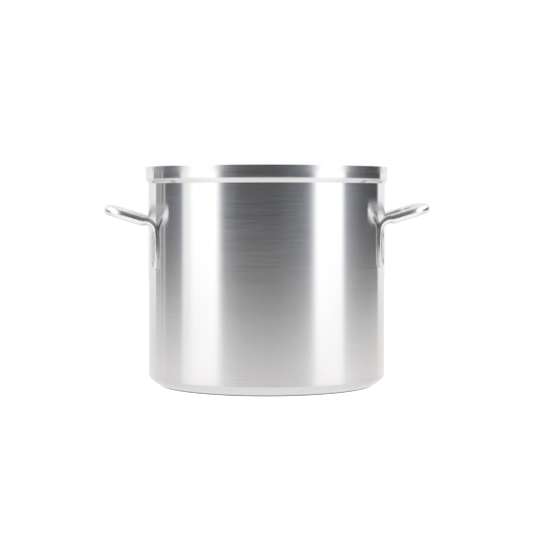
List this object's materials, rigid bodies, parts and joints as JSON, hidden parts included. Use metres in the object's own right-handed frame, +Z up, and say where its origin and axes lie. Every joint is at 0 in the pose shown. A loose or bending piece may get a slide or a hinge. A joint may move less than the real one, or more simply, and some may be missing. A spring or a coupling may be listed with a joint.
{
  "type": "stock pot",
  "caption": "Round straight-sided cooking pot with a stepped-out rim band, a capped heat-spreading base and a welded rod loop handle on each side.",
  "frame": {"origin": "centre of the face that the pot rests on, on the pot's axis", "axes": "+Z up along the pot's axis, +X through the middle of the right handle, -Y towards the side seen in the reference view"},
  "size_m": [0.4328, 0.3266, 0.2935],
  "materials": {
    "brushed_wall": "stainless sheet, satin brushed in fine lines round the pot",
    "brushed_base": "stainless cap, satin turned finish with rings on its underside",
    "polished_rod": "stainless rod, bright polished, with flattened welded ends",
    "core_metal": "plain rolled plate, sealed inside the base",
    "weld_metal": "fused steel, dull with heat tint"
  },
  "bodies": {
    "root": {"pot_body": "brushed_wall", "base_core": "core_metal", "base_capsule": "brushed_base", "handle_left": "polished_rod", "handle_right": "polished_rod", "left_handle_welds": "weld_metal", "right_handle_welds": "weld_metal"}
  },
  "joints": []
}
